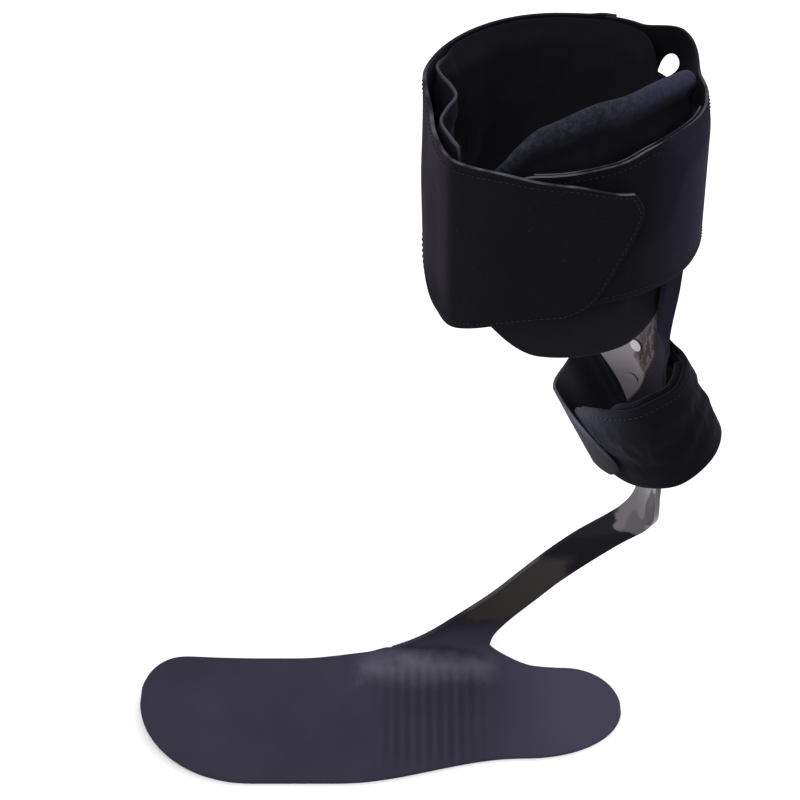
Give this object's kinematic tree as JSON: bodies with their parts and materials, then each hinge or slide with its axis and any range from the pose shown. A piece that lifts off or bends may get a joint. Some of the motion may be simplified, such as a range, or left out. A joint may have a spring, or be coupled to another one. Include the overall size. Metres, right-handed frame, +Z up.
{
  "type": "ankle foot orthosis",
  "caption": "Carbon ankle foot orthosis for a left foot: sole plate with a rising arm and strut, padded calf cuff with a wide hook-and-loop strap, and a soft ankle band.",
  "frame": {"origin": "bottom centre of the bounding box, on the plane that the sole rests on", "axes": "+Z up the leg, -X towards the toe, +Y towards the leg's inner (medial) side"},
  "size_m": [0.2928, 0.1262, 0.4068],
  "materials": {
    "carbon": "bluish dark carbon-fibre laminate, satin on the sole and glossy on the arm and strut",
    "fabric": "black brushed loop fabric with thin stitched edges",
    "liner": "thick soft brushed padding, bluish black",
    "hook": "black hook fastener tape",
    "steel": "small satin rivets and washers"
  },
  "bodies": {
    "foot": {"footplate": "carbon"},
    "shank": {"ankle_band": "fabric", "ankle_liner": "liner", "ankle_rivet_lower": "steel", "ankle_rivet_lower_washer": "steel", "ankle_rivet_upper": "steel", "ankle_rivet_upper_washer": "steel", "ankle_strap": "fabric", "calf_liner": "liner", "calf_liner_hook_1": "hook", "calf_liner_hook_2": "hook", "calf_liner_hook_3": "hook", "calf_strap": "fabric", "calf_strap_rivet_lower": "steel", "calf_strap_rivet_lower_washer": "steel", "calf_strap_rivet_upper": "steel", "calf_strap_rivet_upper_washer": "steel", "calf_wing": "fabric", "calf_wing_rivet_lower": "steel", "calf_wing_rivet_lower_washer": "steel", "calf_wing_rivet_upper": "steel", "calf_wing_rivet_upper_washer": "steel", "strut": "carbon"},
    "calf_tab": {"calf_hook_patch": "hook", "calf_strap_tab": "fabric"},
    "ankle_tab": {"ankle_hook_patch": "hook", "ankle_strap_tab": "fabric"}
  },
  "joints": [
    {"name": "ankle_flex", "type": "hinge", "parent": "foot", "child": "shank", "pos_m": [0.1174, 0.0225, 0.156], "axis": [0, -1, 0], "range_deg": [-8, 14], "stiffness_Nm_per_rad": 90},
    {"name": "calf_tab_peel", "type": "hinge", "parent": "shank", "child": "calf_tab", "pos_m": [0.00708, -0.02332, 0.36], "axis": [0.025, 0.0111, -0.9996], "range_deg": [0, 100]},
    {"name": "ankle_tab_peel", "type": "hinge", "parent": "shank", "child": "ankle_tab", "pos_m": [0.0799, 0.01704, 0.20253], "axis": [0.4226, 0, -0.9063], "range_deg": [0, 100]}
  ]
}
